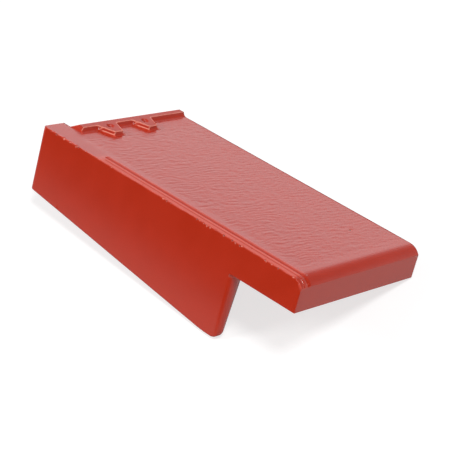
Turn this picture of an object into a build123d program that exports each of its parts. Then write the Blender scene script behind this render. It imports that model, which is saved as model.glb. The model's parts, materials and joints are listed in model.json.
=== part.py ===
"""Left-hand concrete verge tile, cast in one piece and stored as it lies on a level floor.

The tile is drawn as it lies in a roof: x runs across it from the verge face, y runs from the
nose up to the head, and z = 0 is the top of the field. It is then tipped over onto the
flange's toe and the right-hand edge, which is how it comes to rest on a floor.
"""
import os
from math import asin, atan2, degrees, hypot, radians, sqrt, tan

from build123d import *

# Overall sizes
tile_length = 420.0
tile_width = 228.0
field_thickness = 20.0
verge_edge_round = 0.8
lap_edge_round = 0.8

# Lap over the tile below
head_lap = 75.0
verge_overhang = 12.7
verge_gap = 5.3

# Nose, with a rounded top edge and a deep front apron
nose_depth = 40.0
nose_drop = 9.0
nose_radius = 19.0
apron_thickness = 30.0
apron_draft = 4.0
skirt_thickness = 17.0

# Verge flange that hangs down the side
flange_back_depth = 86.5
toe_depth = 125.0
toe_level_run = 25.0
toe_radius = 12.0
toe_blend_radius = 150.0
heel_radius = 2.6
back_corner_radius = 4.5
flange_root_thickness = 18.0
flange_tip_thickness = 8.0
flange_root_fillet = 7.0
flange_front_radius = 7.0
strip_width = 35.0

# Rib along the head
rib_height = 5.2
rib_top_width = 8.4
rib_back_slope = 7.6
rib_front_slope = 2.4
rib_foot_radius = 6.0
rib_end_slope = 6.5
rib_edge_round = 0.6

# Nail bosses and holes
nail_count = 2
nail_spacing = 63.0
nail_to_rib = 6.5
nail_diameter = 6.5
boss_length = 23.0
boss_nose_width = 14.0
boss_flare = 23.0
boss_draft = 6.0
boss_foot_radius = 3.5
countersink_width = 11.0
countersink_depth = 2.0

# Twin grooves beside the verge edge
land_width = 5.8
groove_width = 2.0
groove_depth = 1.1
bead_width = 4.0
bead_groove_width = 5.8
bead_groove_valley = 1.1
groove_end_to_lap = 17.5
bead_groove_end_to_lap = 12.2

# Overlock that covers the next tile, with two channels underneath
overlock_skin = 11.0
overlock_depth = 24.0
outer_lip_width = 7.0
channel_width = 8.5
inner_lip_width = 6.0

# Underside: weather bar and the nibs that hang on the batten
weather_bar_root = 10.0
weather_bar_depth = 34.0
weather_bar_gap = 4.0
nib_count = 2
nib_spacing = 92.0
nib_width = 34.0
nib_length = 16.0
nib_tip = 11.0
nib_depth = 36.0
nib_to_head = 12.0
underside_draft = 8.0

# Sizes that follow from the ones above
nose_run = sqrt(nose_radius**2 - (nose_radius - nose_drop) ** 2)
nose_angle = degrees(asin(nose_run / nose_radius))
flange_start = head_lap + verge_overhang + verge_gap
flange_end = tile_length + verge_overhang
toe_corner = flange_start + toe_level_run
flange_slope = atan2(toe_depth - flange_back_depth, flange_end - toe_corner)
toe_level_end = toe_corner - toe_blend_radius * tan(flange_slope / 2)
middle = tile_width / 2
rib_back = tile_length - rib_back_slope
rib_front = rib_back - rib_top_width
rib_foot = rib_front - rib_front_slope
rib_base = rib_foot - rib_foot_radius
nail_places = [middle + nail_spacing * (n - (nail_count - 1) / 2) for n in range(nail_count)]
nail_line = rib_front - nail_to_rib
nib_places = [middle + nib_spacing * (n - (nib_count - 1) / 2) for n in range(nib_count)]
nib_front = tile_length - nib_to_head - nib_length
boss_front = rib_front - boss_length
boss_spread = boss_length * tan(radians(boss_flare))
channel_start = apron_thickness + apron_draft
channel_length = tile_length - channel_start
bead_left = land_width + groove_width
bead_right = bead_left + bead_width
outer_lip_left = tile_width - outer_lip_width
inner_lip_left = outer_lip_left - channel_width - inner_lip_width
pan_right = inner_lip_left - channel_width
groove_start = tile_length - head_lap - groove_end_to_lap
bead_groove_start = tile_length - head_lap - bead_groove_end_to_lap
above = 2.0
tiny = 0.01


def across(x):
    """Plane of a side profile at x, with y running along the tile."""
    return Plane((x, 0, 0), x_dir=(0, 1, 0), z_dir=(1, 0, 0))


def along(y):
    """Plane of a cross-section at y, seen from the head."""
    return Plane((0, y, 0), x_dir=(1, 0, 0), z_dir=(0, -1, 0))


def groove_cut(start, *points):
    """Cut one groove from its start, down the field and over the rounded nose."""
    with BuildLine(across(0)) as path:
        Line((start, 0), (nose_run, 0))
        CenterArc((nose_run, -nose_radius), nose_radius, 90, nose_angle)
    with BuildSketch(along(start)) as section:
        with BuildLine():
            Polyline(*points, close=True)
        make_face()
    sweep(section.sketch, path=path.wire(), mode=Mode.SUBTRACT)


with BuildPart() as laid_tile:
    # Field and nose, one side profile drawn right across the tile
    with BuildSketch(across(0)):
        with BuildLine():
            bend = CenterArc((nose_run, -nose_radius), nose_radius, 90, nose_angle)
            Polyline(
                bend @ 1,
                (0, -nose_depth),
                (apron_thickness, -nose_depth),
                (apron_thickness + apron_draft, -field_thickness),
                (tile_length, -field_thickness),
                (tile_length, 0),
                bend @ 0,
            )
        make_face()
    extrude(amount=tile_width)

    # Strip at the back left, level with the field
    with BuildSketch(Plane.XY):
        with Locations((0, tile_length)):
            Rectangle(strip_width, verge_overhang, align=(Align.MIN, Align.MIN))
    extrude(amount=-field_thickness)

    # Skirt that carries the nose's side back to the flange
    with BuildSketch(Plane.XY.offset(-nose_depth)):
        with Locations((0, apron_thickness)):
            Rectangle(skirt_thickness, flange_start - apron_thickness, align=(Align.MIN, Align.MIN))
    extrude(amount=nose_depth - field_thickness)

    # Flange, deeper towards the nose, with a rounded toe
    with BuildSketch(across(0)) as flange_side:
        with BuildLine():
            Polyline(
                (flange_start, 0),
                (flange_start, -nose_depth),
                (flange_start, -toe_depth),
                (toe_corner, -toe_depth),
                (flange_end, -flange_back_depth),
                (flange_end, 0),
                close=True,
            )
        make_face()
        fillet(flange_side.vertices().sort_by_distance((flange_start, -toe_depth))[0], toe_radius)
        fillet(flange_side.vertices().sort_by_distance((toe_corner, -toe_depth))[0], toe_blend_radius)
    extrude(amount=flange_root_thickness)

    # Draft on the flange's inner face
    with BuildSketch(along(flange_end + above)):
        with BuildLine():
            Polyline(
                (flange_root_thickness, -field_thickness),
                (flange_tip_thickness, -toe_depth),
                (flange_tip_thickness, -toe_depth - above),
                (flange_root_thickness + above, -toe_depth - above),
                (flange_root_thickness + above, -field_thickness),
                close=True,
            )
        make_face()
    extrude(amount=flange_end - flange_start + 2 * above, mode=Mode.SUBTRACT)

    # Hollow corner where the flange hangs from the field
    flange_root = laid_tile.edges().filter_by(Axis.Y)
    flange_root = flange_root.sort_by_distance((flange_root_thickness, middle, -field_thickness))[0]
    fillet(flange_root, flange_root_fillet)

    # Back corner of the verge face, and the outer edge along the foot of the flange
    back_corner = laid_tile.edges().filter_by(Axis.Z).sort_by_distance((0, flange_end, -flange_back_depth))[0]
    fillet(back_corner, back_corner_radius)
    flange_foot = laid_tile.edges().sort_by_distance((0, toe_level_end, -toe_depth))[0]
    fillet(flange_foot, heel_radius)

    # Rounded edges all round the verge face and the front of the nose
    outer_edges = laid_tile.edges().filter_by(
        lambda edge: edge.center().X < tiny or edge.center().Y < tiny
    )
    fillet(outer_edges, verge_edge_round)

    # Broad rounding down the flange's front edge
    with BuildSketch(Plane.XY.offset(-nose_depth)):
        with Locations((-above, flange_start - above)):
            Rectangle(
                flange_front_radius + above,
                flange_front_radius + above,
                align=(Align.MIN, Align.MIN),
            )
        with Locations((flange_front_radius, flange_start + flange_front_radius)):
            Circle(flange_front_radius, mode=Mode.SUBTRACT)
    extrude(amount=nose_depth - toe_depth - above, mode=Mode.SUBTRACT)

    # Rib along the head, with a hollow foot towards the field
    with BuildSketch(across(strip_width)) as rib_side:
        with BuildLine():
            Polyline(
                (rib_base, -above),
                (rib_base, 0),
                (rib_foot, 0),
                (rib_front, rib_height),
                (rib_back, rib_height),
                (tile_length, 0),
                (tile_length, -above),
                close=True,
            )
        make_face()
        fillet(rib_side.vertices().sort_by_distance((rib_foot, 0))[0], rib_foot_radius)
    extrude(amount=tile_width - strip_width)

    # Sloped end of the rib beside the strip
    with BuildSketch(along(tile_length + above)):
        with BuildLine():
            Polyline(
                (strip_width, 0),
                (strip_width + rib_end_slope, rib_height),
                (strip_width + rib_end_slope, rib_height + above),
                (strip_width - above, rib_height + above),
                (strip_width - above, 0),
                close=True,
            )
        make_face()
    extrude(amount=tile_length - rib_base + 2 * above, mode=Mode.SUBTRACT)

    # Nail bosses, each a wedge that widens into the rib
    for x in nail_places:
        with BuildSketch(Plane.XY.offset(rib_height)):
            with BuildLine():
                Polyline(
                    (x - boss_nose_width / 2, boss_front),
                    (x + boss_nose_width / 2, boss_front),
                    (x + boss_nose_width / 2 + boss_spread, rib_front),
                    (x + boss_nose_width / 2 + boss_spread, rib_back),
                    (x - boss_nose_width / 2 - boss_spread, rib_back),
                    (x - boss_nose_width / 2 - boss_spread, rib_front),
                    close=True,
                )
            make_face()
        extrude(amount=-rib_height, taper=-boss_draft)
    boss_feet = laid_tile.edges().filter_by_position(Axis.Z, -0.01, 0.01)
    boss_feet = boss_feet.filter_by_position(Axis.Y, boss_front - boss_length, rib_base)
    fillet(boss_feet, boss_foot_radius)

    # Nail holes right through, each with a countersink
    with BuildSketch(Plane.XY.offset(rib_height)):
        with Locations(*[(x, nail_line) for x in nail_places]):
            Circle(nail_diameter / 2)
    extrude(amount=-rib_height - field_thickness, mode=Mode.SUBTRACT)
    with Locations(*[(x, nail_line, rib_height - countersink_depth / 2) for x in nail_places]):
        Cone(nail_diameter / 2, countersink_width / 2, countersink_depth, mode=Mode.SUBTRACT)

    # Right-hand edge of the field, rounded less than the cast verge
    right_edges = laid_tile.edges().filter_by_position(Axis.X, tile_width - tiny, tile_width + tiny)
    fillet(right_edges.filter_by_position(Axis.Z, -nose_drop, rib_height + tiny), lap_edge_round)

    # Front edges of the rib's top and of the bosses
    crest = laid_tile.edges().filter_by_position(Axis.Z, rib_height - tiny, rib_height + tiny)
    crest = crest.filter_by_position(Axis.Y, boss_front - tiny, rib_back - tiny)
    fillet(crest.filter_by(GeomType.LINE), rib_edge_round)

    # Overlock: the plate is thinned by two channels, with a lip beside each
    with BuildSketch(Plane.XY.offset(-overlock_depth)):
        with Locations((tile_width, channel_start)):
            Rectangle(outer_lip_width, channel_length, align=(Align.MAX, Align.MIN))
        with Locations((inner_lip_left, channel_start)):
            Rectangle(inner_lip_width, channel_length, align=(Align.MIN, Align.MIN))
    extrude(amount=overlock_depth - overlock_skin)
    with BuildSketch(Plane.XY.offset(-overlock_skin)):
        with Locations((inner_lip_left, channel_start), (outer_lip_left, channel_start)):
            Rectangle(channel_width, channel_length + above, align=(Align.MAX, Align.MIN))
    extrude(amount=-nose_depth, mode=Mode.SUBTRACT)

    # Weather bar that drops in behind the head of the tile below
    with BuildSketch(Plane.XY.offset(-field_thickness)):
        with Locations((skirt_thickness, head_lap + weather_bar_gap)):
            Rectangle(pan_right - skirt_thickness, weather_bar_root, align=(Align.MIN, Align.MIN))
    extrude(amount=field_thickness - weather_bar_depth, taper=underside_draft)

    # Nibs that hang on the batten, square in front and drafted behind
    for x in nib_places:
        with BuildSketch(across(x - nib_width / 2)):
            with BuildLine():
                Polyline(
                    (nib_front, -field_thickness),
                    (nib_front, -nib_depth),
                    (nib_front + nib_tip, -nib_depth),
                    (nib_front + nib_length, -field_thickness),
                    close=True,
                )
            make_face()
        extrude(amount=nib_width)

    # Twin grooves beside the verge, with a bead left standing between them
    groove_cut(
        groove_start,
        (land_width, above),
        (land_width, 0),
        (land_width + groove_width / 2, -groove_depth),
        (bead_left, 0),
        (bead_left, above),
    )
    groove_cut(
        bead_groove_start,
        (bead_right, above),
        (bead_right, 0),
        (bead_right + bead_groove_valley, -groove_depth),
        (bead_right + bead_groove_width, 0),
        (bead_right + bead_groove_width, above),
    )

# Tip the tile until it lies on the toe's inner edge, the apron's right corner and the outer lip
toe_contact = Vector(flange_tip_thickness, toe_level_end, -toe_depth)
nose_contact = Vector(tile_width, apron_thickness, -nose_depth)
head_contact = Vector(tile_width, tile_length, -overlock_depth)
floor = Plane(
    nose_contact,
    x_dir=nose_contact - toe_contact,
    z_dir=(nose_contact - toe_contact).cross(head_contact - nose_contact),
)
sideways = degrees(atan2(-floor.z_dir.X, floor.z_dir.Z))
endways = degrees(atan2(floor.z_dir.Y, hypot(floor.z_dir.X, floor.z_dir.Z)))

with BuildPart() as tipped_tile:
    add(laid_tile.part, rotation=(endways, sideways, 0))
lying = tipped_tile.part.bounding_box()

with BuildPart() as verge_tile:
    with Locations((-lying.center().X, -lying.center().Y, -lying.min.Z)):
        add(tipped_tile.part)

verge_tile.part.label = "verge_tile"
os.makedirs("parts", exist_ok=True)
export_step(verge_tile.part, "parts/verge_tile.step")
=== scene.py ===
"""Left-hand concrete verge tile: the relief and coat of its casting, and a plain studio.

The casting is worked on as it lies in a roof: x runs across it from the verge face, y runs
from the nose up to the head, and z = 0 is the top of the field. It then goes back to where
it lies on the floor. All lengths are in metres.
"""

import json
import math

import bmesh
import bpy
from bpy.props import FloatProperty, FloatVectorProperty, IntProperty, PointerProperty
from bpy.types import Operator, Panel, PropertyGroup
from mathutils import Matrix, Vector
from mathutils.kdtree import KDTree


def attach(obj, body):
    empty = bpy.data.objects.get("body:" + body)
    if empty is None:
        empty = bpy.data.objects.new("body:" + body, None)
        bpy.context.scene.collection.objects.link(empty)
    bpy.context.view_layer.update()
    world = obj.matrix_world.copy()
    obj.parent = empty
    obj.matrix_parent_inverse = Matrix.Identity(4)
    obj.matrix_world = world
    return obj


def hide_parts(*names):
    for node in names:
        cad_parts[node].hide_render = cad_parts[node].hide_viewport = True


bl_info = {
    "name": "Concrete verge tile",
    "version": (1, 0, 0),
    "blender": (4, 5, 0),
    "location": "3D View > Sidebar > Verge tile",
    "description": "Relief and red coat of a cast concrete verge tile, in a plain studio",
    "category": "Object",
}

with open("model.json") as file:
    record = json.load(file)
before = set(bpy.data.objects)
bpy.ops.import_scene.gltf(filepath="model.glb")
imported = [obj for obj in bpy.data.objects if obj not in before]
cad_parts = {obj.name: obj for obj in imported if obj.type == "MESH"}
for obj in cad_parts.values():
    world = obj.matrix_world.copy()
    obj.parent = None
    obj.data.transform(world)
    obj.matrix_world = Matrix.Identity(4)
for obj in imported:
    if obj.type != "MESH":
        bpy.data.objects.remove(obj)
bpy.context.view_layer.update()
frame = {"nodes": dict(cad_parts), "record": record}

tile_node = "verge_tile"

# Chips along the top arris of the verge: distance from the nose, drop and reach
arris_chips = [
    (0.0140, 0.0006, 0.0020),
    (0.0470, 0.0006, 0.0018),
    (0.0550, 0.0020, 0.0014),
    (0.0930, 0.0006, 0.0020),
    (0.1030, 0.0020, 0.0016),
    (0.1430, 0.0018, 0.0018),
    (0.1480, 0.0020, 0.0018),
    (0.1600, 0.0006, 0.0014),
    (0.2200, 0.0006, 0.0022),
    (0.3090, 0.0006, 0.0014),
    (0.3720, 0.0020, 0.0018),
    (0.3830, 0.0006, 0.0014),
    (0.3940, 0.0008, 0.0026),
]
# Deeper hollows under the arris, painted dark at the bottom as painted shade
arris_hollows = [
    (0.0370, 0.0012, 0.0016),
    (0.0570, 0.0008, 0.0016),
    (0.0960, 0.0022, 0.0014),
    (0.1080, 0.0010, 0.0018),
    (0.1210, 0.0010, 0.0020),
    (0.1530, 0.0010, 0.0014),
    (0.1640, 0.0010, 0.0016),
    (0.2070, 0.0012, 0.0012),
    (0.2140, 0.0012, 0.0014),
    (0.3680, 0.0010, 0.0016),
    (0.4080, 0.0010, 0.0016),
]
# Small pits in the field, painted dark inside as painted shade too: across, along, and reach
field_pits = [
    (0.1765, 0.0710, 0.0022),
    (0.0450, 0.2040, 0.0014),
    (0.0150, 0.2362, 0.0013),
    (0.0152, 0.2278, 0.0014),
    (0.0060, 0.0830, 0.0012),
]

# Mesh of the casting: what counts as one point, as flat and as smooth
same_point = 1e-6
flat_angle = math.radians(0.3)
smooth_angle = math.radians(32.0)
# Tight outer edges: least turn, turn that always counts, widest strip beside a lesser turn
least_turn = math.radians(7.0)
sure_turn = math.radians(40.0)
strip_limit = 0.0012
# Points along those edges, how far each reaches, and how many cuts go in beside the verge's arris
arris_step = 0.001
arris_reach = 0.0018
arris_depth_cuts = 5
# No edge is marked as near as this to the middle of a nail hole
nail_margin = 0.0075
# Regions that are cut finely: least slope towards the region's side, and its limit
top_slope, top_limit = 0.3, -0.012
verge_slope, verge_limit = -0.5, 0.004
arris_side, arris_below, arris_front_slope = 0.005, -0.005, -0.5
# How quickly a face that looks down counts as underneath
under_gain = -4.0

# Random patterns: fineness and offset from the seed
bend_scale, bend_offset = 0.70, 17.0
wander_scale, wander_offset = 0.22, 0.0
patch_scale, patch_offset = 0.75, 5.0
small_scale, small_offset = 2.2, 9.0
wave_scale, wave_offset = 28.0, 3.0
torn_scale, torn_offset = 190.0, 13.0
chip_outline_scale = 900.0
cloud_scale = 32.0
pinhole_scale = 180.0

# Inputs of the relief, each with the value of the property group that sets it
relief_inputs = {
    "Ripple height": "ripple_height",
    "Ripple spacing": "ripple_spacing",
    "Ripple run": "ripple_run",
    "Ripple slant": "ripple_slant",
    "Unevenness": "unevenness",
    "Chip depth": "chip_depth",
    "Raggedness": "raggedness",
    "Seed": "seed",
}

# How far the ripples wander and bend, in ripples, and what their crests and the rest add
wander_pull, bend_pull = 5.0, 2.2
crest_share, small_share = 0.22, 0.85
# Lift of the random pattern that breaks a chip's outline
outline_lift = 0.5

# Limits of the relief, each from where it is nothing to where it is full
level_slope = (0.97, 0.999)
ripple_left = (0.020, 0.032)
ripple_front = (0.016, 0.030)
ripple_back = (0.396, 0.380)
ripple_patches = (0.30, 0.56)
chip_edge = (0.0, 0.7)
chip_bare = (0.25, 0.6)
torn_patches = (0.50, 0.72)
torn_arris = (0.3, 0.9)
torn_side = (0.004, 0.002)
torn_below = (-0.005, -0.003)

# Limits of the coat's colours, in the same way
moulding_side = (0.024, 0.014)
moulding_below = (-0.0016, -0.0004)
moulding_back = (0.345, 0.325)
# Painted highlight on the standing beads of the moulding
moulding_highlight_below = (-0.0006, -0.0001)
raised_above = (0.0010, 0.0026)
# Painted highlight along the arrises: nearness to the arris, patchiness, how far down and how far
# to the right it goes
highlight_arris = (0.2, 0.95)
highlight_clouds = (0.30, 0.62)
highlight_below = (-0.014, -0.004)
highlight_right = (0.200, 0.180)
# Painted highlight on the arrises of the raised rib and bosses
raised_highlight_arris = (0.45, 0.90)
# Painted shade in the deeper hollows
hollow_shade_reach = (0.30, 0.60)
pinhole_reach = (0.06, 0.12)
# Painted highlight: a pale line at the foot of the bosses' walls that face the side lamp: height,
# half width, front, back and slope to the left
foot_height = 0.0011
foot_width = (0.0007, 0.0003)
foot_front = (0.376, 0.380)
foot_back = (0.398, 0.394)
foot_slope = (0.35, 0.50)
# Dark line painted along the right-hand edge, just below the top, and how much of the dark hollow
# colour it takes
lap_side = (0.2264, 0.2270)
lap_below = (-0.0030, -0.0015)
lap_darkness = 0.8
# Range of a random pattern, and the least and most that it gives
cloud_shade = (0.25, 0.75, 0.97, 1.03)
grain_shade = (0.30, 0.70, 0.95, 1.05)

# Gloss and grain of the coat
cloud_gloss, gloss_change = (0.2, 0.8), 0.015
bare_roughness = 0.85
under_roughness = 0.65
rubbed_roughness = 0.42
coat_ior = 1.55
grain_roughness = 0.6
pinhole_share = 0.4
bump_strength, bump_distance = 0.15, 0.0001

# Room: half the floor's width, the way to the bright wall and to the dark side
floor_half = 4.0
bright_way = (0.83, 0.55, 0.0)
dark_way = (-0.83, 0.55, -0.05)
dark_reach = (0.50, 0.80)
# In the tile's gloss: where the floor is lit, where it grows as bright as the wall, and the
# height at which the wall has faded to the ceiling
floor_lit_from = -0.20
floor_rise = (0.30, 1.10)
wall_height = 0.26
# Range along a way, and how bright the wall is at either end of it
wall_across = (0.2, 0.7, 0.45, 1.0)
wall_along = (0.05, 0.45, 0.70, 1.0)
lamp_ways = {"top_lamp": (-0.03, -0.27, 0.962), "side_lamp": (-0.60, 0.50, 0.62)}
sensor_width = 36.0
nearest_seen, farthest_seen = 0.05, 50.0
white = (1.0, 1.0, 1.0, 1.0)


class CastRelief(PropertyGroup):
    """Shape of the cast surface, finer than the casting's own edges."""

    field_cell: FloatProperty(
        name="Field cell",
        description="Distance across the field between the points that carry its relief",
        default=0.0027,
        min=0.001,
        unit="LENGTH",
    )
    ripple_cell: FloatProperty(
        name="Ripple cell",
        description="Distance along the field between the points that carry its relief",
        default=0.0012,
        min=0.0005,
        unit="LENGTH",
    )
    side_cell: FloatProperty(
        name="Side cell",
        description="Distance between the points that carry the relief of the sides",
        default=0.005,
        min=0.001,
        unit="LENGTH",
    )
    arris_cell: FloatProperty(
        name="Arris cell",
        description="Distance between the points along the verge's top arris",
        default=0.001,
        min=0.0005,
        unit="LENGTH",
    )
    ripple_height: FloatProperty(
        name="Ripple height",
        description="Depth of the ripples that the slip leaves across the field",
        default=0.00054,
        unit="LENGTH",
    )
    ripple_spacing: FloatProperty(
        name="Ripple spacing",
        description="Distance from one ripple of the field to the next",
        default=0.0064,
        unit="LENGTH",
    )
    ripple_run: FloatProperty(
        name="Ripple run",
        description="How far one ripple runs across the field",
        default=0.0120,
        unit="LENGTH",
    )
    ripple_slant: FloatProperty(
        name="Ripple slant",
        description="Angle between the ripples and the head of the tile",
        default=math.radians(12.0),
        subtype="ANGLE",
    )
    unevenness: FloatProperty(
        name="Unevenness",
        description="Depth of the slow waves that casting leaves in every face",
        default=0.00006,
        unit="LENGTH",
    )
    chip_depth: FloatProperty(
        name="Chip depth",
        description="How deep the chips along the verge's top arris go",
        default=0.0009,
        unit="LENGTH",
    )
    raggedness: FloatProperty(
        name="Raggedness",
        description="How far the verge's top arris is torn back between its chips",
        default=0.0005,
        unit="LENGTH",
    )
    seed: IntProperty(
        name="Seed",
        description="Fixes the random pattern of the relief",
        default=7,
    )


class RedCoat(PropertyGroup):
    """Colour and gloss of the coat on the concrete."""

    colour: FloatVectorProperty(
        name="Coat colour",
        description="Colour of the acrylic coat",
        subtype="COLOR",
        default=(0.490, 0.023, 0.003),
        min=0.0,
        max=1.0,
    )
    # Painted highlight: a paler red along the arrises that stands in for the light on their
    # rounded edges
    arris_highlight_colour: FloatVectorProperty(
        name="Thin coat colour",
        description="Colour of the coat where it is thin, along the arrises",
        subtype="COLOR",
        default=(0.67, 0.075, 0.042),
        min=0.0,
        max=1.0,
    )
    # Painted highlight: a pale colour on the raised arrises, at the boss feet and in the chips
    pale_highlight_colour: FloatVectorProperty(
        name="Bare concrete",
        description="Colour of the concrete where a chip shows it",
        subtype="COLOR",
        default=(0.80, 0.26, 0.19),
        min=0.0,
        max=1.0,
    )
    # Painted shade: a dark colour at the bottom of the deeper hollows, also used for the dark
    # line along the right-hand edge
    hollow_shade_colour: FloatVectorProperty(
        name="Hollow colour",
        description="Colour of the dirt at the bottom of the deeper hollows",
        subtype="COLOR",
        default=(0.13, 0.02, 0.015),
        min=0.0,
        max=1.0,
    )
    gloss: FloatProperty(
        name="Roughness",
        description="Roughness of the coat on the smooth faces",
        default=0.22,
        min=0.0,
        max=1.0,
    )
    grain_size: FloatProperty(
        name="Grain size",
        description="Size of the sand grains that show through the coat",
        default=0.0012,
        unit="LENGTH",
    )


class PlainStudio(PropertyGroup):
    """Camera, lamps and floor."""

    aim: FloatVectorProperty(
        name="Aim",
        description="Point that the camera looks at",
        subtype="TRANSLATION",
        unit="LENGTH",
        default=(-0.00607, -0.01974, 0.03943),
    )
    distance: FloatProperty(
        name="Distance",
        description="Distance from the camera to its aim",
        default=2.03832,
        unit="LENGTH",
    )
    heading: FloatProperty(
        name="Heading",
        description="Direction in which the camera looks, from across the tile to along it",
        default=math.radians(43.887),
        subtype="ANGLE",
    )
    elevation: FloatProperty(
        name="Elevation",
        description="Angle at which the camera looks down",
        default=math.radians(41.275),
        subtype="ANGLE",
    )
    roll: FloatProperty(
        name="Roll",
        description="Turn of the camera about its own axis",
        default=math.radians(0.175),
        subtype="ANGLE",
    )
    lens: FloatProperty(
        name="Lens",
        description="Focal length in millimetres on a sensor 36 mm wide",
        default=133.99,
    )
    soft_light: FloatProperty(
        name="Soft light",
        description="Strength of the even light from all round",
        default=0.26,
    )
    top_lamp: FloatProperty(
        name="Top lamp",
        description="Strength of the lamp overhead",
        default=1.85,
    )
    side_lamp: FloatProperty(
        name="Side lamp",
        description="Strength of the lamp on the verge side",
        default=1.22,
    )
    lamp_spread: FloatProperty(
        name="Lamp spread",
        description="Angle over which each lamp spreads",
        default=math.radians(20.0),
        subtype="ANGLE",
    )
    wall_colour: FloatVectorProperty(
        name="Wall colour",
        description="Colour of the white wall and of the light on it",
        subtype="COLOR",
        default=(0.90, 0.955, 1.0),
        min=0.0,
        max=1.0,
    )
    wall_glow: FloatProperty(
        name="Wall glow",
        description="How bright the white wall behind the tile is in the tile's gloss",
        default=1.60,
    )
    ceiling_glow: FloatProperty(
        name="Ceiling glow",
        description="How bright the room above that wall is in the tile's gloss",
        default=0.50,
    )
    dark_side: FloatProperty(
        name="Dark side",
        description="How bright the unlit side of the room is in the tile's gloss",
        default=0.02,
    )
    floor_colour: FloatVectorProperty(
        name="Floor",
        description="Colour of the floor",
        subtype="COLOR",
        default=(0.70, 0.70, 0.70),
        min=0.0,
        max=1.0,
    )
    floor_edge: FloatProperty(
        name="Floor edge",
        description="How far out on the verge side the floor is dark in the tile's gloss",
        default=0.55,
        unit="LENGTH",
    )
    floor_glow: FloatProperty(
        name="Floor glow",
        description="How bright the floor is in the tile's gloss",
        default=0.75,
    )
    floor_lift: FloatProperty(
        name="Floor lift",
        description="What the camera sees on top of the floor's own light, so that it is white",
        default=0.72,
    )
    shadow_depth: FloatProperty(
        name="Shadow depth",
        description="How much of the floor's own light the camera sees, and so of the shadow",
        default=0.50,
        min=0.0,
        max=1.0,
    )


def feed(tree, socket, value):
    """Give a socket either a link from another socket or a plain value."""
    if isinstance(value, bpy.types.NodeSocket):
        tree.links.new(value, socket)
    else:
        socket.default_value = value


def add_node(tree, kind, **settings):
    """Add a node with its settings."""
    node = tree.nodes.new(kind)
    for name, value in settings.items():
        setattr(node, name, value)
    return node


def sums(tree, operation, *values):
    """Result of one sum on numbers or sockets."""
    node = add_node(tree, "ShaderNodeMath", operation=operation)
    for socket, value in zip(node.inputs, values):
        feed(tree, socket, value)
    return node.outputs[0]


def joined(tree, operation, first, *others):
    """Result of the same sum on several numbers or sockets, from the first one on."""
    for other in others:
        first = sums(tree, operation, first, other)
    return first


def product(tree, *values):
    """Product of several numbers or sockets."""
    return joined(tree, "MULTIPLY", *values)


def along_way(tree, place, way):
    """How far a place or a direction lies along a given way."""
    node = add_node(tree, "ShaderNodeVectorMath", operation="DOT_PRODUCT")
    feed(tree, node.inputs[0], place)
    feed(tree, node.inputs[1], way)
    return node.outputs["Value"]


def scaled(tree, vector, factor):
    """Vector or colour times a number."""
    node = add_node(tree, "ShaderNodeVectorMath", operation="SCALE")
    feed(tree, node.inputs[0], vector)
    feed(tree, node.inputs["Scale"], factor)
    return node.outputs["Vector"]


def split(tree, vector):
    """Three parts of a vector."""
    node = add_node(tree, "ShaderNodeSeparateXYZ")
    feed(tree, node.inputs[0], vector)
    return node.outputs


def change(tree, kind, value, low, high, at_low, at_high):
    """Change of a value from one range to another."""
    node = add_node(tree, "ShaderNodeMapRange", interpolation_type=kind)
    feed(tree, node.inputs["Value"], value)
    feed(tree, node.inputs["From Min"], low)
    feed(tree, node.inputs["From Max"], high)
    feed(tree, node.inputs["To Min"], at_low)
    feed(tree, node.inputs["To Max"], at_high)
    return node.outputs["Result"]


def ramp(tree, value, low, high, at_low=0.0, at_high=1.0):
    """Smooth step of a value from one range to another."""
    return change(tree, "SMOOTHSTEP", value, low, high, at_low, at_high)


def fade(tree, value, low, high, at_low, at_high):
    """Straight change of a value from one range to another."""
    return change(tree, "LINEAR", value, low, high, at_low, at_high)


def noise(tree, place, scale, detail):
    """Random pattern at a place, as its node."""
    node = add_node(tree, "ShaderNodeTexNoise")
    feed(tree, node.inputs["Vector"], place)
    feed(tree, node.inputs["Scale"], scale)
    feed(tree, node.inputs["Detail"], detail)
    return node


def blend(tree, factor, below, above):
    """Colour between two others."""
    node = add_node(tree, "ShaderNodeMix", data_type="RGBA")
    feed(tree, node.inputs["Factor"], factor)
    feed(tree, node.inputs[6], below)
    feed(tree, node.inputs[7], above)
    return node.outputs[2]


def opaque(colour):
    """Colour with its alpha."""
    return (*colour, 1.0)


def in_gloss(tree, path):
    """1 for a ray that a glossy or a clear surface sends on, and 0 for any other."""
    return sums(
        tree, "MAXIMUM", path.outputs["Is Glossy Ray"], path.outputs["Is Transmission Ray"]
    )


def roof_axes(record, mesh):
    """Turn and shift from the tile as it lies in a roof to the tile as it lies on the floor."""
    mounts = {mount["name"]: mount for mount in record["mounts"]}
    left = Vector(mounts["nail_hole_left"]["pos_m"])
    right = Vector(mounts["nail_hole_right"]["pos_m"])
    x_axis = (right - left).normalized()
    z_axis = Vector(mounts["nail_hole_left"]["axis"]).normalized()
    y_axis = z_axis.cross(x_axis).normalized()
    turn = Matrix((x_axis, y_axis, z_axis)).transposed()
    field = max(
        (face for face in mesh.polygons if face.normal.dot(z_axis) > 0.999),
        key=lambda face: face.area,
    )
    origin = Vector((
        min(point.co.dot(x_axis) for point in mesh.vertices),
        min(point.co.dot(y_axis) for point in mesh.vertices),
        field.center.dot(z_axis),
    ))
    placed = turn.to_4x4()
    placed.translation = turn @ origin
    return placed


def steps(low, high, cell):
    """Places of even cuts between two limits."""
    count = max(1, round((high - low) / cell))
    return [low + (high - low) * n / count for n in range(1, count)]


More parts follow.
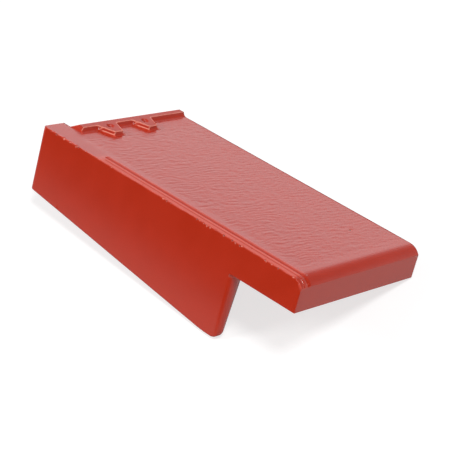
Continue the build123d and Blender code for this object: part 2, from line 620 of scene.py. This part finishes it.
def cut_faces(shell, faces, axis, places):
    """Cut some faces by parallel planes across one axis, and give the faces that come of it."""
    if not faces or not places:
        return faces
    middle = len(places) // 2
    place = places[middle]
    below, above, between = [], [], []
    for face in faces:
        reach = [vert.co[axis] for vert in face.verts]
        if max(reach) < place + same_point:
            below.append(face)
        elif min(reach) > place - same_point:
            above.append(face)
        else:
            between.append(face)
    if between:
        parts = set(between)
        for face in between:
            parts.update(face.edges)
            parts.update(face.verts)
        normal = Vector([float(axis == n) for n in range(3)])
        made = bmesh.ops.bisect_plane(
            shell, geom=list(parts), dist=same_point, plane_co=normal * place, plane_no=normal
        )
        for face in made["geom"]:
            if isinstance(face, bmesh.types.BMFace):
                side = below if face.calc_center_median()[axis] < place else above
                side.append(face)
    return cut_faces(shell, below, axis, places[:middle]) + cut_faces(
        shell, above, axis, places[middle + 1:]
    )


def cut_region(shell, wanted, places):
    """Cut the faces of one region by planes across each axis in turn."""
    faces = [face for face in shell.faces if wanted(face)]
    for axis, cuts in enumerate(places):
        faces = cut_faces(shell, faces, axis, sorted(cuts))


def arris_points(shell):
    """Points along every tight outer edge of the casting."""
    points = []
    for edge in shell.edges:
        if len(edge.link_faces) != 2:
            continue
        angle = edge.calc_face_angle_signed(0.0)
        if angle < least_turn:
            continue
        length = edge.calc_length()
        if length < same_point:
            continue
        width = min(face.calc_area() for face in edge.link_faces) / length
        if angle < sure_turn and width > strip_limit:
            continue
        count = max(1, int(length / arris_step))
        low, high = (vert.co for vert in edge.verts)
        points.extend(low.lerp(high, n / count) for n in range(count + 1))
    return points


def nearness(points, reach):
    """Function that is 1 at the given points and falls to 0 at the given reach."""
    tree = KDTree(len(points))
    for index, point in enumerate(points):
        tree.insert(point, index)
    tree.balance()

    def near(place):
        distance = tree.find(place)[2]
        return max(0.0, 1.0 - distance / reach)

    return near


def drift(tree, place, scale, seed, offset, detail=1.0):
    """Smooth random value that drifts from place to place."""
    cloud = add_node(tree, "ShaderNodeTexNoise", noise_dimensions="4D")
    feed(tree, cloud.inputs["Vector"], place)
    feed(tree, cloud.inputs["W"], sums(tree, "ADD", seed, offset))
    feed(tree, cloud.inputs["Scale"], scale)
    feed(tree, cloud.inputs["Detail"], detail)
    return cloud.outputs[0]


def named_value(tree, name):
    """Value that the mesh carries at its points, in geometry nodes."""
    node = add_node(tree, "GeometryNodeInputNamedAttribute", data_type="FLOAT")
    feed(tree, node.inputs["Name"], name)
    return node.outputs[0]


def ripple_pattern(tree, place, given):
    """Ripples, long across the tile and short along it."""
    turned = add_node(tree, "ShaderNodeVectorRotate", rotation_type="Z_AXIS")
    feed(tree, turned.inputs["Vector"], place)
    feed(tree, turned.inputs["Angle"], given["Ripple slant"])
    across, along, _ = split(tree, turned.outputs[0])
    bands = sums(tree, "DIVIDE", along, given["Ripple spacing"])
    squeezed = add_node(tree, "ShaderNodeCombineXYZ")
    feed(tree, squeezed.inputs[0], sums(tree, "DIVIDE", across, given["Ripple run"]))
    feed(tree, squeezed.inputs[1], bands)
    spot, seed = squeezed.outputs[0], given["Seed"]
    bend = drift(tree, spot, bend_scale, seed, bend_offset)
    wander = drift(tree, spot, wander_scale, seed, wander_offset)
    bands = sums(tree, "ADD", bands, product(tree, wander, wander_pull))
    bands = sums(tree, "ADD", bands, product(tree, bend, bend_pull))
    crests = sums(tree, "SINE", product(tree, bands, math.tau))
    crests = product(tree, crests, sums(tree, "ABSOLUTE", crests))
    patches = ramp(tree, drift(tree, spot, patch_scale, seed, patch_offset), *ripple_patches)
    crests = product(tree, crests, patches)
    small = drift(tree, spot, small_scale, seed, small_offset)
    return sums(
        tree, "ADD", product(tree, crests, crest_share), product(tree, small, small_share)
    )


def relief_tree():
    """Geometry nodes that give the casting its ripples, waves and chips."""
    tree = bpy.data.node_groups.new("Cast relief", "GeometryNodeTree")
    tree.is_modifier = True
    face = tree.interface
    face.new_socket("Geometry", in_out="INPUT", socket_type="NodeSocketGeometry")
    for name in relief_inputs:
        face.new_socket(name, in_out="INPUT", socket_type="NodeSocketFloat")
    face.new_socket("Coat", in_out="INPUT", socket_type="NodeSocketMaterial")
    face.new_socket("Geometry", in_out="OUTPUT", socket_type="NodeSocketGeometry")
    given = add_node(tree, "NodeGroupInput").outputs
    end = add_node(tree, "NodeGroupOutput")
    place = add_node(tree, "GeometryNodeInputPosition").outputs[0]
    normal = add_node(tree, "GeometryNodeInputNormal").outputs[0]
    across, along, height = split(tree, place)

    # Ripples of the field, away from its margins
    on_field = product(
        tree,
        ramp(tree, split(tree, normal)[2], *level_slope),
        ramp(tree, across, *ripple_left),
        ramp(tree, along, *ripple_front),
        ramp(tree, along, *ripple_back),
    )
    ripples = ripple_pattern(tree, place, given)
    ripple_depth = product(tree, ripples, given["Ripple height"], on_field)

    # Slow waves of every cast face
    waves = drift(tree, place, wave_scale, given["Seed"], wave_offset, detail=2.0)
    wave_depth = product(tree, waves, given["Unevenness"])

    # Chips, with a broken outline
    broken = noise(tree, place, chip_outline_scale, 2.0).outputs[0]
    rough_chip = product(
        tree, named_value(tree, "chip"), sums(tree, "ADD", broken, outline_lift)
    )
    chip_depth = product(tree, ramp(tree, rough_chip, *chip_edge), given["Chip depth"])

    # Ragged edge where the mould left the arris of the verge
    torn = drift(tree, place, torn_scale, given["Seed"], torn_offset)
    torn_depth = product(
        tree,
        ramp(tree, torn, *torn_patches),
        ramp(tree, named_value(tree, "arris"), *torn_arris),
        ramp(tree, across, *torn_side),
        ramp(tree, height, *torn_below),
        given["Raggedness"],
    )

    depth = joined(tree, "ADD", ripple_depth, wave_depth, chip_depth, torn_depth)
    moved = add_node(tree, "GeometryNodeSetPosition")
    feed(tree, moved.inputs["Geometry"], given["Geometry"])
    feed(tree, moved.inputs["Offset"], scaled(tree, normal, product(tree, depth, -1.0)))
    # Chip mask, which the coat paints pale as a highlight and makes rougher
    bare = add_node(
        tree, "GeometryNodeStoreNamedAttribute", data_type="FLOAT", domain="POINT"
    )
    feed(tree, bare.inputs["Geometry"], moved.outputs[0])
    feed(tree, bare.inputs["Name"], "bare")
    feed(tree, bare.inputs["Value"], ramp(tree, rough_chip, *chip_bare))
    real = add_node(tree, "GeometryNodeRealizeInstances")
    feed(tree, real.inputs[0], bare.outputs[0])
    coated = add_node(tree, "GeometryNodeSetMaterial")
    feed(tree, coated.inputs["Geometry"], real.outputs[0])
    feed(tree, coated.inputs["Material"], given["Coat"])
    feed(tree, end.inputs[0], coated.outputs[0])
    return tree


def set_input(modifier, name, value):
    """Set one input of a geometry nodes modifier by its name on the tree."""
    for item in modifier.node_group.interface.items_tree:
        if item.in_out == "INPUT" and item.name == name:
            modifier[item.identifier] = value
            return
    raise RuntimeError("the relief has no input named " + name)


def coat_material(settings, laid):
    """Glossy red coat on cast concrete, with painted highlights on the arrises and chips, painted
    shade in the hollows and a dark line along the right-hand edge.
    """
    coat = bpy.data.materials.new("Red coat on concrete")
    coat.use_nodes = True
    tree = coat.node_tree
    shader = tree.nodes["Principled BSDF"]
    back = laid.inverted()
    mapped = add_node(tree, "ShaderNodeMapping", vector_type="POINT")
    feed(tree, mapped.inputs["Vector"], add_node(tree, "ShaderNodeTexCoord").outputs["Object"])
    mapped.inputs["Rotation"].default_value = back.to_euler()
    mapped.inputs["Location"].default_value = back.translation
    place = mapped.outputs[0]
    across, along, height = split(tree, place)
    normal = add_node(tree, "ShaderNodeNewGeometry").outputs["Normal"]
    facing_left = along_way(tree, normal, tuple(-laid.col[0].xyz))

    # Sand grains and pinholes under the coat, and its cloudiness
    grain_node = noise(tree, place, 1.0 / settings.grain_size, 3.0)
    feed(tree, grain_node.inputs["Roughness"], grain_roughness)
    grain = grain_node.outputs["Fac"]
    clouds = noise(tree, place, cloud_scale, 3.0).outputs["Fac"]
    pinholes = add_node(tree, "ShaderNodeTexVoronoi", feature="F1")
    feed(tree, pinholes.inputs["Vector"], place)
    feed(tree, pinholes.inputs["Scale"], pinhole_scale)
    pin = ramp(tree, pinholes.outputs["Distance"], *pinhole_reach)

    arris, bare, hollow, under = (
        add_node(tree, "ShaderNodeAttribute", attribute_name=name).outputs["Fac"]
        for name in ("arris", "bare", "hollow", "under")
    )

    # The moulding beside the verge and the raised tops, where the mould rubs
    moulding = product(
        tree,
        ramp(tree, across, *moulding_side),
        ramp(tree, height, *moulding_below),
        ramp(tree, along, *moulding_back),
    )
    raised = ramp(tree, height, *raised_above)

    # Painted highlights along the arrises, on the standing moulding, on the raised arrises, at
    # the boss feet and in the chips; painted shade in the hollows, and a dark line along the
    # right-hand edge
    # Painted highlight along the arrises
    arris_highlight = product(
        tree,
        ramp(tree, arris, *highlight_arris),
        ramp(tree, clouds, *highlight_clouds),
        ramp(tree, height, *highlight_below),
        ramp(tree, across, *highlight_right),
    )
    # Painted highlight on the standing beads of the moulding
    moulding_highlight = product(tree, moulding, ramp(tree, height, *moulding_highlight_below))
    arris_highlight = sums(tree, "MAXIMUM", arris_highlight, moulding_highlight)
    # Painted highlight at the foot of the bosses, on the walls that face the side lamp
    from_foot = sums(tree, "ABSOLUTE", sums(tree, "SUBTRACT", height, foot_height))
    foot_highlight = product(
        tree,
        ramp(tree, from_foot, *foot_width),
        ramp(tree, along, *foot_front),
        ramp(tree, along, *foot_back),
        ramp(tree, facing_left, *foot_slope),
    )
    # Painted highlight on the arrises of the raised rib and bosses
    raised_arris_highlight = product(tree, ramp(tree, arris, *raised_highlight_arris), raised)
    pale_highlights = joined(tree, "MAXIMUM", raised_arris_highlight, foot_highlight, bare)
    # Dark line along the right-hand edge, just below the top
    lap = product(
        tree,
        ramp(tree, across, *lap_side, at_high=lap_darkness),
        ramp(tree, height, *lap_below),
    )
    # Painted shade in the hollows, with the dark line along the right-hand edge
    hollow_shade_and_line = sums(tree, "MAXIMUM", ramp(tree, hollow, *hollow_shade_reach), lap)

    # Colour: clouded red, paler where highlights are painted, dark in the hollows as painted
    # shade and in a line along the right-hand edge
    shade = product(tree, ramp(tree, clouds, *cloud_shade), ramp(tree, grain, *grain_shade))
    red = scaled(tree, tuple(settings.colour), shade)
    colour = blend(tree, arris_highlight, red, opaque(settings.arris_highlight_colour))
    colour = blend(tree, pale_highlights, colour, opaque(settings.pale_highlight_colour))
    colour = blend(tree, hollow_shade_and_line, colour, opaque(settings.hollow_shade_colour))
    feed(tree, shader.inputs["Base Color"], colour)

    # Gloss, duller where the concrete is bare, where the mould rubs and underneath
    smoothest, dullest = settings.gloss - gloss_change, settings.gloss + gloss_change
    rough = joined(
        tree,
        "MAXIMUM",
        ramp(tree, clouds, *cloud_gloss, smoothest, dullest),
        product(tree, bare, bare_roughness),
        product(tree, under, under_roughness),
        product(tree, moulding, rubbed_roughness),
        product(tree, raised, rubbed_roughness),
    )
    feed(tree, shader.inputs["Roughness"], rough)
    shader.inputs["IOR"].default_value = coat_ior

    bump = add_node(tree, "ShaderNodeBump")
    feed(tree, bump.inputs["Strength"], bump_strength)
    feed(tree, bump.inputs["Distance"], bump_distance)
    grit = sums(tree, "ADD", grain, product(tree, pin, pinhole_share))
    feed(tree, bump.inputs["Height"], grit)
    feed(tree, shader.inputs["Normal"], bump.outputs[0])
    return coat


def floor_material(settings):
    """Pale floor that is white in the camera and keeps the shadow of the tile."""
    floor = bpy.data.materials.new("Pale floor")
    floor.use_nodes = True
    tree = floor.node_tree
    tree.nodes.remove(tree.nodes["Principled BSDF"])
    end = tree.nodes["Material Output"]
    path = add_node(tree, "ShaderNodeLightPath")

    # What the light from the lamps finds, and what the camera sees
    matt = add_node(tree, "ShaderNodeBsdfDiffuse")
    feed(tree, matt.inputs["Color"], opaque(settings.floor_colour))
    lift = add_node(tree, "ShaderNodeEmission")
    feed(tree, lift.inputs["Color"], white)
    feed(tree, lift.inputs["Strength"], settings.floor_lift)
    shaded = add_node(tree, "ShaderNodeBsdfDiffuse")
    dimmed = [shade * settings.shadow_depth for shade in settings.floor_colour]
    feed(tree, shaded.inputs["Color"], opaque(dimmed))
    lifted = add_node(tree, "ShaderNodeAddShader")
    feed(tree, lifted.inputs[0], shaded.outputs[0])
    feed(tree, lifted.inputs[1], lift.outputs[0])
    seen = add_node(tree, "ShaderNodeMixShader")
    feed(tree, seen.inputs["Fac"], path.outputs["Is Camera Ray"])
    feed(tree, seen.inputs[1], matt.outputs[0])
    feed(tree, seen.inputs[2], lifted.outputs[0])

    # What the tile's gloss mirrors: dark on the verge side, as bright as the wall far behind
    place = add_node(tree, "ShaderNodeTexCoord").outputs["Object"]
    near = ramp(
        tree,
        split(tree, place)[0],
        -settings.floor_edge,
        floor_lit_from,
        settings.dark_side,
        settings.floor_glow,
    )
    rise = settings.wall_glow - settings.floor_glow
    far = fade(tree, along_way(tree, place, bright_way), *floor_rise, 0.0, rise)
    mirrored = add_node(tree, "ShaderNodeEmission")
    feed(tree, mirrored.inputs["Color"], white)
    feed(tree, mirrored.inputs["Strength"], sums(tree, "ADD", near, far))
    mixed = add_node(tree, "ShaderNodeMixShader")
    feed(tree, mixed.inputs["Fac"], in_gloss(tree, path))
    feed(tree, mixed.inputs[1], seen.outputs[0])
    feed(tree, mixed.inputs[2], mirrored.outputs[0])
    feed(tree, end.inputs["Surface"], mixed.outputs[0])
    return floor


def surroundings(settings):
    """White room: even light on the tile, and in its gloss a bright wall and one dark side."""
    world = bpy.data.worlds.new("White room")
    world.use_nodes = True
    tree = world.node_tree
    sky = tree.nodes["Background"]
    path = add_node(tree, "ShaderNodeLightPath")
    gloss = in_gloss(tree, path)
    feed(tree, sky.inputs["Color"], blend(tree, gloss, white, opaque(settings.wall_colour)))

    # Glow that the gloss mirrors: it falls with height and away from the bright wall
    ways = add_node(tree, "ShaderNodeTexCoord").outputs["Generated"]
    _, along, height = split(tree, ways)
    wall = product(
        tree,
        fade(tree, height, 0.0, wall_height, settings.wall_glow, settings.ceiling_glow),
        fade(tree, along_way(tree, ways, bright_way), *wall_across),
        fade(tree, along, *wall_along),
    )
    glow = add_node(tree, "ShaderNodeMix", data_type="FLOAT")
    aside = along_way(tree, ways, dark_way)
    feed(tree, glow.inputs["Factor"], ramp(tree, aside, *dark_reach))
    feed(tree, glow.inputs[2], wall)
    feed(tree, glow.inputs[3], settings.dark_side)

    # White for the camera, the glow for the gloss and soft light for everything else
    camera = path.outputs["Is Camera Ray"]
    other = joined(tree, "SUBTRACT", 1.0, gloss, camera)
    strength = joined(
        tree,
        "ADD",
        camera,
        product(tree, gloss, glow.outputs[0]),
        product(tree, other, settings.soft_light),
    )
    feed(tree, sky.inputs["Strength"], strength)
    return world


def cut_casting(shell, relief):
    """Cut the casting's faces finely enough to carry their relief."""
    low = [min(vert.co[n] for vert in shell.verts) for n in range(3)]
    high = [max(vert.co[n] for vert in shell.verts) for n in range(3)]

    def on_top(face):
        return face.normal.z > top_slope and face.calc_center_median().z > top_limit

    def on_verge(face):
        return face.normal.x < verge_slope and face.calc_center_median().x < verge_limit

    def by_arris(face):
        centre = face.calc_center_median()
        inside = centre.x < arris_side and centre.z > arris_below
        return inside and face.normal.y > arris_front_slope

    def elsewhere(face):
        return not on_top(face) and not on_verge(face)

    def cuts(axis, cell):
        return steps(low[axis], high[axis], cell)

    side, rest = relief.side_cell, 2 * relief.side_cell
    fine = [arris_step * n for n in range(1, arris_depth_cuts + 1)]
    cut_region(shell, on_top, (cuts(0, relief.field_cell), cuts(1, relief.ripple_cell), []))
    cut_region(shell, on_verge, ([], cuts(1, side), cuts(2, side)))
    cut_region(shell, elsewhere, [cuts(axis, rest) for axis in range(3)])
    cut_region(
        shell, by_arris, (fine, cuts(1, relief.arris_cell), [-place for place in fine])
    )


def within(point, spots):
    """How deep a point lies in the nearest of some spots, from 0 at their reach to 1."""
    return max(max(0.0, 1.0 - (point - centre).length / reach) for centre, reach in spots)


def mark_casting(shell, laid, arris):
    """Store at each point what the relief and the coat read there."""
    layers = {
        name: shell.verts.layers.float.new(name) for name in ("arris", "chip", "hollow", "under")
    }
    hollows = [(Vector((0.0, y, -drop)), reach) for y, drop, reach in arris_hollows]
    hollows += [(Vector((x, y, 0.0)), reach) for x, y, reach in field_pits]
    chips = hollows + [(Vector((0.0, y, -drop)), reach) for y, drop, reach in arris_chips]
    back = laid.inverted()
    nails = [
        (back @ Vector(mount["pos_m"])).xy
        for mount in frame["record"]["mounts"]
        if mount["name"].startswith("nail_hole")
    ]
    for vert in shell.verts:
        by_nail = min((vert.co.xy - nail).length for nail in nails) < nail_margin
        vert[layers["arris"]] = 0.0 if by_nail else arris(vert.co)
        vert[layers["under"]] = max(0.0, min(1.0, under_gain * vert.normal.z))
        vert[layers["chip"]] = within(vert.co, chips)
        # Mask of the hollows, which the coat paints dark as shade
        vert[layers["hollow"]] = within(vert.co, hollows)


class VERGE_TILE_OT_casting(Operator):
    """Give the casting its relief and its red coat"""

    bl_idname = "verge_tile.casting"
    bl_label = "Cast and coat the tile"

    def execute(self, context):
        relief = context.scene.verge_relief
        cad = frame["nodes"].get(tile_node)
        if cad is None:
            raise RuntimeError("the frame holds no verge tile")
        laid = roof_axes(frame["record"], cad.data)
        coat = coat_material(context.scene.verge_coat, laid)

        shell = bmesh.new()
        shell.from_mesh(cad.data)
        shell.transform(laid.inverted())
        bmesh.ops.remove_doubles(shell, verts=shell.verts[:], dist=same_point)
        shell.normal_update()
        arris = nearness(arris_points(shell), arris_reach)
        bmesh.ops.dissolve_limit(
            shell, angle_limit=flat_angle, verts=shell.verts[:], edges=shell.edges[:]
        )
        shell.normal_update()
        cut_casting(shell, relief)
        bmesh.ops.triangulate(shell, faces=shell.faces[:])
        shell.normal_update()
        mark_casting(shell, laid, arris)
        mesh = bpy.data.meshes.new("tile_casting")
        shell.to_mesh(mesh)
        shell.free()
        mesh.polygons.foreach_set("use_smooth", [True] * len(mesh.polygons))
        mesh.set_sharp_from_angle(angle=smooth_angle)
        mesh.materials.append(coat)

        raw = bpy.data.objects.new("tile_casting_raw", mesh)
        context.scene.collection.objects.link(raw)
        shaped = raw.modifiers.new("Cast relief", "NODES")
        shaped.node_group = relief_tree()
        for name, value in relief_inputs.items():
            set_input(shaped, name, float(getattr(relief, value)))
        set_input(shaped, "Coat", coat)
        context.view_layer.update()
        evaluated = raw.evaluated_get(context.evaluated_depsgraph_get())
        plain = bpy.data.meshes.new_from_object(evaluated)
        bpy.data.objects.remove(raw)
        plain.transform(laid)
        plain.name = "tile_casting"
        casting = bpy.data.objects.new("tile_casting", plain)
        context.scene.collection.objects.link(casting)
        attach(casting, "root")
        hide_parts(tile_node)
        return {"FINISHED"}


class VERGE_TILE_OT_studio(Operator):
    """Set up the floor, the lamps and the camera"""

    bl_idname = "verge_tile.studio"
    bl_label = "Set up the studio"

    def execute(self, context):
        studio = context.scene.verge_studio
        half = floor_half
        ground = bpy.data.meshes.new("floor")
        ground.from_pydata(
            [(-half, -half, 0), (half, -half, 0), (half, half, 0), (-half, half, 0)],
            [],
            [(0, 1, 2, 3)],
        )
        floor = bpy.data.objects.new("floor", ground)
        context.scene.collection.objects.link(floor)
        floor.data.materials.append(floor_material(studio))

        context.scene.world = surroundings(studio)
        for name, direction in lamp_ways.items():
            light = bpy.data.lights.new(name, "SUN")
            light.energy = getattr(studio, name)
            light.angle = studio.lamp_spread
            lamp = bpy.data.objects.new(name, light)
            lamp.rotation_euler = Vector(direction).to_track_quat("Z", "Y").to_euler()
            context.scene.collection.objects.link(lamp)

        heading, drop = studio.heading, studio.elevation
        look = Vector((
            math.cos(heading) * math.cos(drop),
            math.sin(heading) * math.cos(drop),
            -math.sin(drop),
        ))
        across = look.cross(Vector((0, 0, 1))).normalized()
        across = Matrix.Rotation(-studio.roll, 3, look) @ across
        upward = across.cross(look)
        place = Matrix((across, upward, -look)).transposed().to_4x4()
        place.translation = Vector(studio.aim) - look * studio.distance
        lens = bpy.data.cameras.new("camera")
        lens.sensor_width = sensor_width
        lens.lens = studio.lens
        lens.clip_start = nearest_seen
        lens.clip_end = farthest_seen
        camera = bpy.data.objects.new("camera", lens)
        camera.matrix_world = place
        context.scene.collection.objects.link(camera)
        context.scene.camera = camera
        context.scene.view_settings.view_transform = "Standard"
        return {"FINISHED"}


class VERGE_TILE_PT_panel(Panel):
    """Buttons and values of the verge tile"""

    bl_idname = "VERGE_TILE_PT_panel"
    bl_label = "Concrete verge tile"
    bl_space_type = "VIEW_3D"
    bl_region_type = "UI"
    bl_category = "Verge tile"

    def draw(self, context):
        scene = context.scene
        for operator, group in (
            (VERGE_TILE_OT_casting, (scene.verge_relief, scene.verge_coat)),
            (VERGE_TILE_OT_studio, (scene.verge_studio,)),
        ):
            box = self.layout.box()
            for values in group:
                for name in values.bl_rna.properties.keys():
                    if name not in ("rna_type", "name"):
                        box.prop(values, name)
            box.operator(operator.bl_idname)


classes = (
    CastRelief,
    RedCoat,
    PlainStudio,
    VERGE_TILE_OT_casting,
    VERGE_TILE_OT_studio,
    VERGE_TILE_PT_panel,
)


def register():
    for kind in classes:
        bpy.utils.register_class(kind)
    bpy.types.Scene.verge_relief = PointerProperty(type=CastRelief)
    bpy.types.Scene.verge_coat = PointerProperty(type=RedCoat)
    bpy.types.Scene.verge_studio = PointerProperty(type=PlainStudio)


def unregister():
    del bpy.types.Scene.verge_studio
    del bpy.types.Scene.verge_coat
    del bpy.types.Scene.verge_relief
    for kind in reversed(classes):
        bpy.utils.unregister_class(kind)


def main():
    register()
    bpy.ops.verge_tile.casting()
    bpy.ops.verge_tile.studio()


if __name__ == "__main__":
    main()
